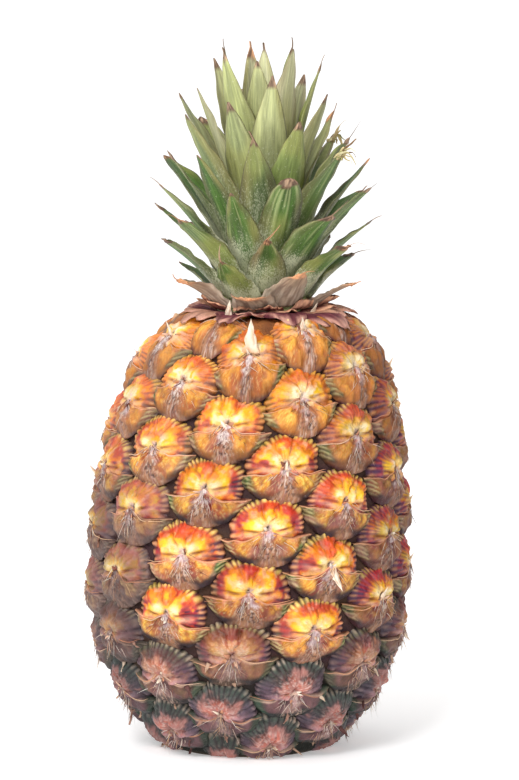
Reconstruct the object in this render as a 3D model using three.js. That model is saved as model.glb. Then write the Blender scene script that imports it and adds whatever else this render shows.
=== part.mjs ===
// A whole pineapple that stands upright on the small flat spot at its base.
// The fruit is one body: a barrel whose rind is divided into eyes, set on a
// spiral. A cut stalk fills the recess in its base. On top stands the crown:
// a short tapered stem with a spiral of curved leaves, the lowest of them dry.
// Each leaf lies on its own surface of revolution, and these surfaces nest
// like funnels, so that no leaf can pass through another.
// Millimetres and degrees, +Z up. The origin is the middle of the resting face.
import * as THREE from "three";
import { ConvexHull } from "three/addons/math/ConvexHull.js";

// Fruit
const fruitHeight = 149; // resting face to the flat seat under the crown
const fruitRadius = 55; // over the eyes, at the widest place
const widestHeight = 56; // height of the widest place
const restRadius = 26; // the flat spot that the fruit stands on
const seatRadius = 24; // the flat top that carries the crown
const grooveDepth = 3.6; // how far the grooves lie below the eyes
const grooveWidth = 7; // how far an eye's edge takes to fall into its groove
const axisBend = 7; // how far the fruit leans over sideways at the top of its bend
const bendStart = 60; // the height where that lean begins
const bendLength = 130; // the height over which it builds up

// Eyes, one after another on a rising spiral
const eyePitch = 1.62; // step along the rind from one eye to the next, at the widest place
const pitchGrowth = 0.75; // how strongly the step grows where the fruit is narrower
const eyeTurn = 138; // turn from one eye to the next, clockwise from above
const frontEyeAzimuth = -83.5; // one eye that all the others are counted from
const frontEyeHeight = 81;
const rimMargin = 6; // no eye lies nearer than this to the flat spot
const seatMargin = 2.5; // nor nearer than this to the seat

// Cut stalk in the base
const stalkRadius = 13;
const stalkDepth = 9; // how far it reaches up into the fruit

// Crown
const stemRadius = 16.5; // crown stem at its foot
const stemTipRadius = 2.6;
const clearance = 0.35; // gap between pieces that touch
const leafCount = 57;
const dryCount = 6; // the lowest leaves, short and dry
const leafPitch = 0.56; // step up the stem from one leaf to the next
const leafTurn = 137.5; // turn from one leaf to the next, clockwise from above
const frontLeaf = 14; // this leaf points the same way as the front of the fruit
const frontLeafAzimuth = -87;
const leafWidth = 13.4; // of a full-grown leaf
const tipPower = 2.1; // the higher, the later a leaf begins to narrow to its tip
const leafThickness = 1.3; // lowest leaf, on its midline
const innerLeafThickness = 0.9; // highest leaf
const firstFootHeight = 1; // lowest leaf's foot above the seat
// Along the crown from its lowest leaf (0) to its highest (1): the height of the tips above the
// seat, and the mean slope of the leaves away from upright.
const tipHeights = [[0, 8], [0.12, 19], [0.38, 43], [0.65, 68], [0.88, 89], [1, 93]];
const meanLeans = [[0, 64], [0.12, 49], [0.4, 42], [0.65, 27], [0.88, 13], [1, 4]];
const lowestCurl = 30; // how much the lowest leaf bends outwards from foot to tip
const highestCurl = 4;

// Facets
const ringSteps = 36; // round the flat spot, the recess and the seat
const domeSteps = 9; // round the dome of an eye
const grooveSteps = 14; // round the groove of an eye
const pointSpacing = 3.4; // no two points of the rind lie nearer than this
const leafStations = 6;
const leafHalfSteps = 2; // steps from the midline to each edge
const outlineSteps = 400;

const deg = Math.PI / 180;
const lerp = (a, b, t) => a + (b - a) * t;
const clamp01 = (t) => Math.min(1, Math.max(0, t));
// A value read from a list of [place, value] pairs, in straight steps between them.
function between(stops, place) {
  const i = Math.max(1, stops.findIndex(([at]) => at >= place));
  const [[from, low], [to, high]] = [stops[i - 1], stops[i]];
  return lerp(low, high, (place - from) / (to - from));
}
const smooth = (t) => clamp01(t) ** 2 * (3 - 2 * clamp01(t));

// A repeatable number from -1 to 1 for piece n and quality k.
function chance(n, k) {
  const x = Math.sin(n * 12.9898 + k * 78.233) * 43758.5453;
  return 2 * (x - Math.floor(x)) - 1;
}

const bendAt = (z) => axisBend * smooth((z - bendStart) / bendLength);

// ---- fruit ----

// Radius over the eyes: a soft curve in from the widest place to the flat spot,
// and a fuller one up to the seat of the crown.
function fruitRadiusAt(z) {
  if (z < widestHeight) {
    const t = 1 - z / widestHeight;
    return restRadius + (fruitRadius - restRadius) * (1 - t ** 2) ** 0.75;
  }
  const t = (z - widestHeight) / (fruitHeight - widestHeight);
  return seatRadius + (fruitRadius - seatRadius) * Math.sqrt(Math.max(0, 1 - t ** 2.4));
}

// The outline from the flat spot to the seat. "along" is the distance along the rind, and
// "stretch" the sum of its steps over their radius, which unrolls the rind without distortion.
function fruitOutline() {
  const points = [{ r: restRadius, z: 0, along: 0, stretch: 0 }];
  for (let i = 1; i <= outlineSteps; i++) {
    const z = (fruitHeight * (1 - Math.cos((Math.PI * i) / outlineSteps))) / 2;
    const r = fruitRadiusAt(z);
    const last = points[i - 1];
    const step = Math.hypot(r - last.r, z - last.z);
    points.push({ r, z, along: last.along + step, stretch: last.stretch + (2 * step) / (r + last.r) });
  }
  return points;
}

const outline = fruitOutline();
const rindLength = outline[outlineSteps].along;

// Everything about the outline at a distance along the rind, with its outward normal.
function rindAt(along) {
  let i = 1;
  while (i < outlineSteps && outline[i].along < along) i++;
  const a = outline[i - 1];
  const b = outline[i];
  const t = clamp01((along - a.along) / (b.along - a.along));
  const length = Math.hypot(b.r - a.r, b.z - a.z);
  return {
    r: lerp(a.r, b.r, t),
    z: lerp(a.z, b.z, t),
    stretch: lerp(a.stretch, b.stretch, t),
    normalR: (b.z - a.z) / length,
    normalZ: (a.r - b.r) / length,
  };
}

function eyeCentres() {
  const front = outline.find((point) => point.z >= frontEyeHeight).along;
  const eyes = [];
  for (const way of [1, -1]) {
    let along = front;
    for (let k = 0; along > rimMargin && along < rindLength - seatMargin; k += way) {
      if (k !== 0 || way === 1) eyes.push({ along, azimuth: (frontEyeAzimuth - eyeTurn * k) * deg });
      along += way * eyePitch * (fruitRadius / rindAt(along).r) ** pitchGrowth;
    }
  }
  return eyes;
}

const eyes = eyeCentres();

const turnBetween = (a, b) => Math.atan2(Math.sin(a - b), Math.cos(a - b));

// Distances to the nearest eye and to the next one after it.
function nearestEyes(azimuth, along) {
  const radius = rindAt(along).r;
  let nearest = Infinity;
  let second = Infinity;
  for (const eye of eyes) {
    const distance = Math.hypot(turnBetween(azimuth, eye.azimuth) * radius, along - eye.along);
    if (distance < nearest) {
      second = nearest;
      nearest = distance;
    } else if (distance < second) {
      second = distance;
    }
  }
  return { nearest, second };
}

// Depth of the rind below the eyes: nothing inside an eye, full where two eyes meet.
function grooveAt(azimuth, along) {
  const { nearest, second } = nearestEyes(azimuth, along);
  const fade = smooth(along / rimMargin) * smooth((rindLength - along) / rimMargin);
  return grooveDepth * fade * (1 - smooth((second - nearest) / grooveWidth));
}

// Places on the rind that its facets join: eye centres, rings on their domes, and the grooves.
function rindPlaces() {
  const places = eyes.map((eye) => ({ ...eye }));
  const isFree = (azimuth, along) => {
    if (along < pointSpacing || along > rindLength - pointSpacing) return false;
    const radius = rindAt(along).r;
    return places.every(
      (p) => Math.hypot(turnBetween(azimuth, p.azimuth) * radius, along - p.along) > pointSpacing,
    );
  };
  // The groove in a direction: the first place where another eye is as near as this one.
  const grooveReach = (eye, direction) => {
    const radius = rindAt(eye.along).r;
    for (let reach = 4; reach < 24; reach += 0.5) {
      const azimuth = eye.azimuth + (reach * Math.cos(direction)) / radius;
      const along = eye.along + reach * Math.sin(direction);
      if (along < 0 || along > rindLength) return reach;
      const here = Math.hypot(reach * Math.cos(direction) * (rindAt(along).r / radius), along - eye.along);
      if (nearestEyes(azimuth, along).nearest < here - 0.01) return reach;
    }
    return 24;
  };
  for (const [steps, share] of [[grooveSteps, 1], [domeSteps, 0.62]]) {
    for (const eye of eyes) {
      const radius = rindAt(eye.along).r;
      for (let i = 0; i < steps; i++) {
        const direction = (2 * Math.PI * (i + 0.5)) / steps;
        const reach = share * grooveReach(eye, direction);
        const azimuth = eye.azimuth + (reach * Math.cos(direction)) / radius;
        const along = eye.along + reach * Math.sin(direction);
        if (isFree(azimuth, along)) places.push({ azimuth, along });
      }
    }
  }
  return places;
}

// The fruit's facets come from the hull of the same places wrapped round a ball.
function fruitGeometry() {
  const recessRadius = stalkRadius + clearance;
  const recessTop = stalkDepth + clearance;
  const middle = rindAt(rindLength / 2).stretch;
  const ballPoint = (azimuth, stretch) => {
    const latitude = 2 * Math.atan(Math.exp(stretch - middle)) - Math.PI / 2;
    const around = Math.cos(latitude);
    return new THREE.Vector3(around * Math.cos(azimuth), around * Math.sin(azimuth), Math.sin(latitude));
  };
  const solid = [];
  const ball = [];
  const add = (azimuth, stretch, radius, z) => {
    ball.push(ballPoint(azimuth, stretch).multiplyScalar(1000));
    solid.push(new THREE.Vector3(radius * Math.cos(azimuth) + bendAt(z), radius * Math.sin(azimuth), z));
    return solid.length - 1;
  };
  const ring = (radius, z, stretch, offset) =>
    Array.from({ length: ringSteps }, (_, i) => add((2 * Math.PI * (i + offset)) / ringSteps, stretch, radius, z));
  const recessEdge = ring(recessRadius, 0, -Math.log(restRadius / recessRadius), 0);
  ring(restRadius, 0, 0, 0.5);
  ring(seatRadius, fruitHeight, outline[outlineSteps].stretch, 0);
  for (const place of rindPlaces()) {
    const rind = rindAt(place.along);
    const depth = grooveAt(place.azimuth, place.along);
    add(place.azimuth, rind.stretch, rind.r - depth * rind.normalR, rind.z - depth * rind.normalZ);
  }
  const southPole = add(0, -20, 0, recessTop);
  add(0, 20, 0, fruitHeight); // middle of the seat
  const number = new Map(ball.map((point, i) => [point, i]));
  const faces = [];
  for (const face of new ConvexHull().setFromPoints(ball).faces) {
    const corners = [face.getEdge(0), face.getEdge(1), face.getEdge(2)].map((edge) => number.get(edge.head().point));
    if (!corners.includes(southPole)) faces.push(...corners);
  }
  // Wall and roof of the recess.
  const roof = recessEdge.map((i) => solid.push(new THREE.Vector3(solid[i].x, solid[i].y, recessTop)) - 1);
  for (let i = 0; i < ringSteps; i++) {
    const j = (i + 1) % ringSteps;
    faces.push(recessEdge[i], roof[j], recessEdge[j], recessEdge[i], roof[i], roof[j]);
    faces.push(southPole, roof[j], roof[i]);
  }
  return solidGeometry(solid, faces);
}

function solidGeometry(points, faces) {
  const geometry = new THREE.BufferGeometry();
  geometry.setAttribute("position", new THREE.Float32BufferAttribute(points.flatMap((p) => [p.x, p.y, p.z]), 3));
  geometry.setIndex(faces);
  geometry.computeVertexNormals();
  return geometry;
}

// A closed solid from rings of points. Each ring runs counter-clockwise as seen from the end.
function ringSolid(rings, startPoint, endPoint) {
  const count = rings[0].length;
  const points = [startPoint, ...rings.flat(), endPoint];
  const faces = [];
  const at = (ring, i) => 1 + ring * count + (i % count);
  const last = rings.length - 1;
  for (let i = 0; i < count; i++) {
    faces.push(0, at(0, i + 1), at(0, i));
    faces.push(points.length - 1, at(last, i), at(last, i + 1));
  }
  for (let ring = 0; ring < last; ring++) {
    for (let i = 0; i < count; i++) {
      faces.push(at(ring, i), at(ring, i + 1), at(ring + 1, i + 1));
      faces.push(at(ring, i), at(ring + 1, i + 1), at(ring + 1, i));
    }
  }
  return solidGeometry(points, faces);
}

// ---- crown ----

const stemHeight = firstFootHeight + leafPitch * (leafCount + 3);

// Crown stem: a blunt cone, its radius at a height above the seat.
const stemRadiusAt = (height) => lerp(stemRadius, stemTipRadius, clamp01(height / stemHeight));

// What one leaf is like, n counted from 1 at the bottom.
function leafPlan(n) {
  const share = (n - 1) / (leafCount - 1);
  const dry = n <= dryCount;
  const thickness = lerp(leafThickness, innerLeafThickness, share);
  const footHeight = firstFootHeight + leafPitch * (n - 1);
  const meanLean = between(meanLeans, share);
  const tipHeight = between(tipHeights, share) * (1 + 0.05 * chance(n, 3));
  const curl = lerp(lowestCurl, highestCurl, share ** 0.6);
  return {
    dry,
    share,
    thickness,
    length: (tipHeight - footHeight) / Math.cos(meanLean * deg),
    width: leafWidth * (1 + 0.07 * chance(n, 4)),
    footRadius: stemRadiusAt(footHeight) + clearance + thickness / 2,
    footHeight,
    footLean: meanLean - 0.45 * curl,
    tipLean: meanLean + 0.55 * curl,
    sway: 3 * chance(n, 5), // how far the tip turns aside
    azimuth: frontLeafAzimuth - leafTurn * (n - frontLeaf),
  };
}

// The midline of a leaf as radius, height and lean, at a share t of its length.
function midline(leaf, steps) {
  const line = [];
  let radius = leaf.footRadius;
  let height = 0;
  const inner = 8;
  const leanAt = (t) => lerp(leaf.footLean, leaf.tipLean, t) * deg;
  for (let i = 0; i <= steps; i++) {
    line.push({ t: i / steps, radius, height, lean: leanAt(i / steps) });
    for (let j = 0; j < inner; j++) {
      const lean = leanAt((i + (j + 0.5) / inner) / steps);
      radius += (Math.sin(lean) * leaf.length) / steps / inner;
      height += (Math.cos(lean) * leaf.length) / steps / inner;
    }
  }
  return line;
}

// A leaf in its own frame: it leaves the stem towards +X, its foot at height 0.
function leafGeometry(leaf) {
  const line = midline(leaf, leafStations);
  const widestHalfAngle = lerp(28, 46, leaf.share) * deg;
  const rings = line.slice(0, -1).map((m) => {
    const halfWidth = (leaf.width / 2) * (1 - m.t ** tipPower) ** 0.8;
    const halfAngle = Math.min(widestHalfAngle, halfWidth / m.radius);
    const halfThickness = (leaf.thickness / 2) * lerp(1, 0.5, m.t);
    const turnAside = leaf.sway * m.t ** 2 * deg;
    // Inward normal of the funnel in the radius and height plane.
    const normalR = -Math.cos(m.lean);
    const normalZ = Math.sin(m.lean);
    const point = (across, side) => {
      const offset = side * halfThickness * (1 - across ** 2);
      const radius = m.radius + normalR * offset;
      const angle = turnAside + across * halfAngle;
      return new THREE.Vector3(radius * Math.cos(angle), radius * Math.sin(angle), m.height + normalZ * offset);
    };
    const ring = [];
    for (let i = leafHalfSteps; i > -leafHalfSteps; i--) ring.push(point(i / leafHalfSteps, 1));
    for (let i = -leafHalfSteps; i < leafHalfSteps; i++) ring.push(point(i / leafHalfSteps, -1));
    return ring;
  });
  const foot = line[0];
  const tip = line[line.length - 1];
  const aside = leaf.sway * deg;
  return ringSolid(
    rings,
    new THREE.Vector3(foot.radius, 0, foot.height),
    new THREE.Vector3(tip.radius * Math.cos(aside), tip.radius * Math.sin(aside), tip.height),
  );
}

function stemGeometry() {
  const steps = 8;
  const profile = [new THREE.Vector2(0, clearance)];
  for (let i = 0; i <= steps; i++) {
    const height = lerp(clearance, stemHeight, i / steps);
    profile.push(new THREE.Vector2(stemRadiusAt(height), height));
  }
  profile.push(new THREE.Vector2(0, stemHeight + stemTipRadius / 2));
  return new THREE.LatheGeometry(profile, 24).rotateX(Math.PI / 2);
}

function stalkGeometry() {
  const bevel = 0.8; // the inner end is slightly rounded
  const profile = [
    new THREE.Vector2(0, 0),
    new THREE.Vector2(stalkRadius, 0),
    new THREE.Vector2(stalkRadius, stalkDepth - bevel),
    new THREE.Vector2(stalkRadius - bevel, stalkDepth),
    new THREE.Vector2(0, stalkDepth),
  ];
  return new THREE.LatheGeometry(profile, 36).rotateX(Math.PI / 2);
}

// ---- assembly ----

const material = (color, roughness) => new THREE.MeshStandardMaterial({ color, roughness, metalness: 0 });
const rindMaterial = material(0xc9702a, 0.5);
const stalkMaterial = material(0xb59a6a, 0.8);
const stemMaterial = material(0xa9b27a, 0.7);
const leafMaterial = material(0x5f7d3c, 0.45);
const dryMaterial = material(0x96644e, 0.8);

function piece(name, geometry, itsMaterial) {
  const mesh = new THREE.Mesh(geometry, itsMaterial);
  mesh.name = name;
  return mesh;
}

const pineapple = new THREE.Group();
pineapple.add(piece("fruit", fruitGeometry(), rindMaterial));
pineapple.add(piece("cut_stalk", stalkGeometry(), stalkMaterial));

const crown = new THREE.Group();
crown.position.set(bendAt(fruitHeight), 0, fruitHeight);
crown.add(piece("crown_stem", stemGeometry(), stemMaterial));
for (let n = 1; n <= leafCount; n++) {
  const plan = leafPlan(n);
  const name = "leaf_" + String(n).padStart(2, "0");
  const leaf = piece(name, leafGeometry(plan), plan.dry ? dryMaterial : leafMaterial);
  leaf.position.z = plan.footHeight;
  leaf.rotation.z = plan.azimuth * deg;
  crown.add(leaf);
}
pineapple.add(crown);

export default pineapple;
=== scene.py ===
import math
import bmesh
import bpy
import numpy as np
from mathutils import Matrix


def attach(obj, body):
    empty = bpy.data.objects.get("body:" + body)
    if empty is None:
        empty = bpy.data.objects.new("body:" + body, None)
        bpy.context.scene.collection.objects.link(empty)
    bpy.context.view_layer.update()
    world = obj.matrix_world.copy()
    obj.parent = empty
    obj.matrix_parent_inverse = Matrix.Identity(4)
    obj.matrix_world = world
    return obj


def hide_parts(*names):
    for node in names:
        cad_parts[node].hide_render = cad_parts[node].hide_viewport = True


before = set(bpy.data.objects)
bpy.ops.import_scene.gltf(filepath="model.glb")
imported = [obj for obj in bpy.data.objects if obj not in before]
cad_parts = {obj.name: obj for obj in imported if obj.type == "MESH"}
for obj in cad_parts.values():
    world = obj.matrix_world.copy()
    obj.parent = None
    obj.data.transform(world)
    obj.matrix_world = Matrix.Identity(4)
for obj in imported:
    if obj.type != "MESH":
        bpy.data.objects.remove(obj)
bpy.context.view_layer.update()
print("frame loaded")

mm = 0.001


def chance(n, k):
    # repeatable number from -1 to 1 for piece n and quality k
    x = np.sin(n * 12.9898 + k * 78.233) * 43758.5453
    return 2 * (x - np.floor(x)) - 1


def smooth(t):
    # soft step: 0 below 0, 1 above 1, three t squared minus two t cubed between
    t = np.clip(t, 0, 1)
    return t * t * (3 - 2 * t)


def mix(a, b, t):
    return a + (b - a) * t


def bump(x, width):
    # bell of height 1
    return np.exp(-(x / width) ** 2)


def softNoise(x, y, seed):
    # value noise: random numbers on a square lattice, blended smoothly between the four corners
    ix, iy = np.floor(x), np.floor(y)
    fx, fy = smooth(x - ix), smooth(y - iy)

    def corner(a, b):
        v = np.sin(a * 127.1 + b * 311.7 + seed * 74.7) * 43758.5453
        return v - np.floor(v)

    low = mix(corner(ix, iy), corner(ix + 1, iy), fx)
    high = mix(corner(ix, iy + 1), corner(ix + 1, iy + 1), fx)
    return mix(low, high, fy)


def linear(hexColour):
    # a colour as it is seen, turned into light
    c = np.array([int(hexColour[i:i + 2], 16) for i in (0, 2, 4)]) / 255
    return np.where(c <= 0.04045, c / 12.92, ((c + 0.055) / 1.055) ** 2.4)


def paint(tone, *coats):
    # colours laid one over another, each by its amount from 0 to 1
    for colour, amount in coats:
        colour = linear(colour) if isinstance(colour, str) else colour
        tone = tone + (colour - tone) * np.clip(amount, 0, 1)[..., None]
    return tone


def unit(vectors):
    return vectors / np.linalg.norm(vectors, axis=-1, keepdims=True)


def gridMesh(name, points, tones, closeAcross=False, lay=None, lowest=0.3):
    # points: sheets, rows, columns, xyz in millimetres; four neighbours make a face;
    # lay: where each point lies across and along its own leaf; lowest: no point lies below it
    sheets, rows, cols = points.shape[:3]
    points = np.concatenate([points[..., :2], np.maximum(points[..., 2:], lowest)], axis=-1)
    index = np.arange(sheets * rows * cols).reshape(sheets, rows, cols)
    if closeAcross:
        index = np.concatenate([index, index[:, :, :1]], axis=2)
    quads = np.stack(
        [index[:, :-1, :-1], index[:, :-1, 1:], index[:, 1:, 1:], index[:, 1:, :-1]], axis=-1
    ).reshape(sheets, -1, 4)
    # faces are turned outwards: the volume each sheet encloses with the fruit's middle is positive
    middle = np.array([0, 0, 75.0])
    corner = points.reshape(-1, 3)[quads] - middle
    volume = np.einsum("sfi,sfi->s", corner[:, :, 0], np.cross(corner[:, :, 1], corner[:, :, 2]))
    volume = volume + np.einsum("sfi,sfi->s", corner[:, :, 0], np.cross(corner[:, :, 2], corner[:, :, 3]))
    quads = np.where((volume < 0)[:, None, None], quads[..., ::-1], quads).reshape(-1, 4)
    mesh = bpy.data.meshes.new(name)
    mesh.vertices.add(sheets * rows * cols)
    mesh.vertices.foreach_set("co", (points * mm).astype(np.float32).ravel())
    mesh.loops.add(quads.size)
    mesh.loops.foreach_set("vertex_index", quads.astype(np.int32).ravel())
    mesh.polygons.add(len(quads))
    mesh.polygons.foreach_set("loop_start", np.arange(0, quads.size, 4, dtype=np.int32))
    mesh.polygons.foreach_set("loop_total", np.full(len(quads), 4, dtype=np.int32))
    mesh.polygons.foreach_set("use_smooth", np.ones(len(quads), dtype=bool))
    mesh.update(calc_edges=True)
    tone = mesh.color_attributes.new("tone", "FLOAT_COLOR", "POINT")
    rgba = np.zeros(points.shape[:3] + (4,), dtype=np.float32)
    rgba[..., :3] = np.clip(tones[..., :3], 0, 1)
    if tones.shape[-1] == 4:
        rgba[..., 3] = np.clip(tones[..., 3], 0, 1)
    tone.data.foreach_set("color", rgba.ravel())
    if lay is not None:
        ownPlace = mesh.attributes.new("lay", "FLOAT_VECTOR", "POINT")
        ownPlace.data.foreach_set("vector", (lay * mm).astype(np.float32).ravel())
    # points that fall together, at poles and drawn-in ends, become one
    welded = bmesh.new()
    welded.from_mesh(mesh)
    bmesh.ops.remove_doubles(welded, verts=welded.verts, dist=1e-6)
    welded.to_mesh(mesh)
    welded.free()
    mesh.validate()
    piece = bpy.data.objects.new(name, mesh)
    bpy.context.scene.collection.objects.link(piece)
    return piece


def drawEnds(grid):
    # both ends of every sheet are drawn together to one place, so a tube or a shell is closed
    first, last = (end.mean(axis=2, keepdims=True) + 0 * end for end in (grid[:, :1], grid[:, -1:]))
    return np.concatenate([first, grid, last], axis=1)


def thicken(points, tones, thickness):
    # a sheet gets an inner and an outer face half the thickness away along its normal, joined at all edges
    normal = np.cross(np.gradient(points, axis=1), np.gradient(points, axis=2))
    normal /= np.maximum(np.linalg.norm(normal, axis=3, keepdims=True), 1e-9)
    rows, cols = points.shape[1:3]
    edge = np.minimum(1, 3 * np.sin(np.linspace(0, np.pi, cols)))[None, None, :, None]
    edge = edge * np.minimum(1, 3 * np.sin(np.linspace(0, np.pi, rows)))[None, :, None, None]
    away = normal * edge * thickness / 2
    return (np.concatenate([points + away, (points - away)[:, :, ::-1]], axis=2),
            np.concatenate([tones, tones[:, :, ::-1]], axis=2))


def finishPiece(piece, material, nodes):
    piece.data.materials.clear()
    piece.data.materials.append(material)
    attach(piece, "root")
    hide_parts(*nodes)


def ringsRound(line, side, other, wide, thin, sides):
    # a ring round each point of a line: wide times the cosine of the turn along side,
    # thin times its sine along other
    turn = np.linspace(0, 2 * np.pi, sides, endpoint=False)[None, None, :, None]
    return line[:, :, None] + side[:, :, None] * wide * np.cos(turn) + other[:, :, None] * thin * np.sin(turn)


def tubes(starts, ways, lengths, radii, curls, steps=7, sides=3):
    # threads: each runs along its way, and bends over by its curl as the square of the distance
    t = np.linspace(0, 1, steps)[None, :, None]
    line = starts[:, None] + ways[:, None] * lengths[:, None, None] * t + curls[:, None] * t ** 2
    along = unit(np.gradient(line, axis=1))
    side = unit(np.cross(along, np.where(np.abs(along[..., 2:]) > 0.8, [1.0, 0, 0], [0, 0, 1.0])))
    thick = radii[:, None, None, None] * (1 - 0.85 * t[..., None] ** 1.5)
    return ringsRound(line, side, np.cross(along, side), thick, thick, sides)


def addNode(tree, kind, values={}, joins={}, **settings):
    # a node with its settings, the plain values of its inputs, and the outputs that feed the others
    node = tree.nodes.new("ShaderNode" + kind)
    for setting, value in settings.items():
        setattr(node, setting, value)
    for socket, value in values.items():
        node.inputs[socket].default_value = value
    for socket, source in joins.items():
        tree.links.new(source, node.inputs[socket])
    return node


def result(tree, kind, *inputs, **settings):
    return addNode(tree, kind, *inputs, **settings).outputs[0]


def newGroup(name, inputs, outputs):
    # an empty node group with its named sockets, what is given to it and what it puts out
    group = bpy.data.node_groups.new(name, "ShaderNodeTree")
    for way, sockets in (("INPUT", inputs), ("OUTPUT", outputs)):
        for socket, kind in sockets.items():
            group.interface.new_socket(socket, in_out=way, socket_type="NodeSocket" + kind)
    given, out = group.nodes.new("NodeGroupInput"), group.nodes.new("NodeGroupOutput")
    return group, given.outputs, out.inputs


def fineGrainGroup():
    # grain on two scales that lightens and darkens a colour and lifts the surface
    group, given, out = newGroup(
        "fineGrain",
        {"Colour": "Color", "Scale": "Float", "Contrast": "Float", "Place": "Vector", "Stretch": "Vector"},
        {"Colour": "Color", "Height": "Float", "Grain": "Float"})
    place = result(group, "VectorMath", {}, {0: given["Place"], 1: given["Stretch"]}, operation="MULTIPLY")
    fineScale = result(group, "Math", {1: 4.3}, {0: given["Scale"]}, operation="MULTIPLY")
    coarse = result(group, "TexNoise", {"Detail": 3}, {"Scale": given["Scale"], "Vector": place})
    fine = result(group, "TexNoise", {"Detail": 4}, {"Scale": fineScale, "Vector": place})
    both = result(group, "Math", {}, {0: coarse, 1: fine}, operation="ADD")
    centred = result(group, "Math", {1: 1.0}, {0: both}, operation="SUBTRACT")
    strength = result(group, "Math", {2: 1.0}, {0: centred, 1: given["Contrast"]}, operation="MULTIPLY_ADD")
    shaded = result(group, "VectorMath", {}, {0: given["Colour"], "Scale": strength}, operation="SCALE")
    for socket, source in (("Colour", shaded), ("Height", both), ("Grain", fine)):
        group.links.new(source, out[socket])
    return group


fineGrain = fineGrainGroup()


def mealDustGroup():
    # pale scurf that stands in fine flecks, the closer together the larger its amount
    group, given, out = newGroup(
        "mealDust",
        {"Colour": "Color", "Meal Colour": "Color", "Amount": "Float", "Place": "Vector",
         "Stretch": "Vector"},
        {"Colour": "Color"})
    place = result(group, "VectorMath", {}, {0: given["Place"], 1: given["Stretch"]}, operation="MULTIPLY")
    flecks = result(group, "TexNoise", {"Scale": 1.0, "Detail": 3, "Roughness": 0.7}, {"Vector": place})
    raised = result(group, "Math", {1: 0.55}, {0: given["Amount"], 2: flecks}, operation="MULTIPLY_ADD")
    covered = result(group, "MapRange", {"From Min": 0.68, "From Max": 0.86, "To Max": 0.82}, {"Value": raised})
    sources = {"Factor": covered, "A": given["Colour"], "B": given["Meal Colour"]}
    mixed = addNode(group, "Mix", {}, sources, data_type="RGBA")
    group.links.new(mixed.outputs["Result"], out["Colour"])
    return group


mealDust = mealDustGroup()


def paintedMaterial(name, settings):
    # the piece's own tones, broken up by grain, with rougher and smoother patches
    material = bpy.data.materials.new(name)
    material.use_nodes = True
    tree = material.node_tree
    place = addNode(tree, "TexCoord").outputs["Object"]
    if settings.get("alongLeaf"):
        place = addNode(tree, "Attribute", attribute_name="lay").outputs["Vector"]
    tone = addNode(tree, "Attribute", attribute_name="tone").outputs
    colour = tone["Color"]
    if "colours" in settings:
        # a solid carries no tones of its own, so noise takes their place
        clouds = result(tree, "TexNoise", {"Scale": 260, "Detail": 5}, {"Vector": place})
        ramp = addNode(tree, "ValToRGB", {}, {0: clouds})
        for end, edge, shade in zip(ramp.color_ramp.elements, (0.35, 0.65), settings["colours"]):
            end.position, end.color = edge, (*linear(shade), 1)
        colour = ramp.outputs[0]
    grain = addNode(
        tree, "Group",
        {"Scale": settings["grainScale"], "Contrast": settings["grainContrast"],
         "Stretch": settings["stretch"]},
        {"Colour": colour, "Place": place}, node_tree=fineGrain).outputs
    colour = grain["Colour"]
    if "meal" in settings:
        colour = addNode(
            tree, "Group", {"Stretch": settings["meal"], "Meal Colour": (*linear(settings["mealColour"]), 1)},
            {"Colour": colour, "Amount": tone["Alpha"], "Place": place}, node_tree=mealDust).outputs["Colour"]
    smoothest, roughest = settings["roughness"]
    rough = result(
        tree, "MapRange", {"From Min": 0.3, "From Max": 0.7, "To Min": smoothest, "To Max": roughest},
        {"Value": grain["Grain"]})
    lift = result(
        tree, "Bump", {"Distance": settings["bumpHeight"], "Strength": settings["bumpStrength"]},
        {"Height": grain["Height"]})
    shader = tree.nodes["Principled BSDF"].inputs
    for socket, source in (("Base Color", colour), ("Roughness", rough), ("Normal", lift)):
        tree.links.new(source, shader[socket])
    shader["Specular IOR Level"].default_value = settings["specular"]
    return material


rindMaterial = paintedMaterial("waxyRind", dict(
    grainScale=420, grainContrast=0.55, stretch=(1, 1, 1), roughness=(0.34, 0.6),
    bumpHeight=0.0004, bumpStrength=0.55, specular=0.5))
bractMaterial = paintedMaterial("fleshyBract", dict(
    grainScale=380, grainContrast=0.7, stretch=(1, 1, 0.45), roughness=(0.4, 0.72),
    bumpHeight=0.0005, bumpStrength=0.6, specular=0.4, meal=(1800, 1800, 700), mealColour="ecdcd2"))
skinMaterial = paintedMaterial("grooveSkin", dict(
    grainScale=300, grainContrast=0.9, stretch=(1, 1, 1), roughness=(0.6, 0.85),
    bumpHeight=0.0006, bumpStrength=0.8, specular=0.3))
threadMaterial = paintedMaterial("dryThread", dict(
    grainScale=200, grainContrast=0.5, stretch=(1, 1, 1), roughness=(0.6, 0.8),
    bumpHeight=0.0002, bumpStrength=0.3, specular=0.3))
leafMaterial = paintedMaterial("crownLeaf", dict(
    grainScale=520, grainContrast=1.0, stretch=(1, 0.07, 1), roughness=(0.38, 0.6),
    bumpHeight=0.0003, bumpStrength=0.45, specular=0.45, alongLeaf=True,
    meal=(2600, 1100, 1), mealColour="d8d9b8"))
dryLeafMaterial = paintedMaterial("dryLeaf", dict(
    grainScale=420, grainContrast=0.9, stretch=(1, 0.1, 1), roughness=(0.6, 0.9),
    bumpHeight=0.0005, bumpStrength=0.6, specular=0.25, alongLeaf=True))
dryMaterial = paintedMaterial("dryBract", dict(
    grainScale=500, grainContrast=0.7, stretch=(1, 1, 0.3), roughness=(0.6, 0.9),
    bumpHeight=0.0005, bumpStrength=0.6, specular=0.25))
stemMaterial = paintedMaterial("crownStem", dict(
    grainScale=500, grainContrast=0.5, stretch=(1, 1, 0.3), roughness=(0.5, 0.8),
    bumpHeight=0.0003, bumpStrength=0.4, specular=0.35, colours=("8a8f58", "b9bd8c")))
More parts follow.
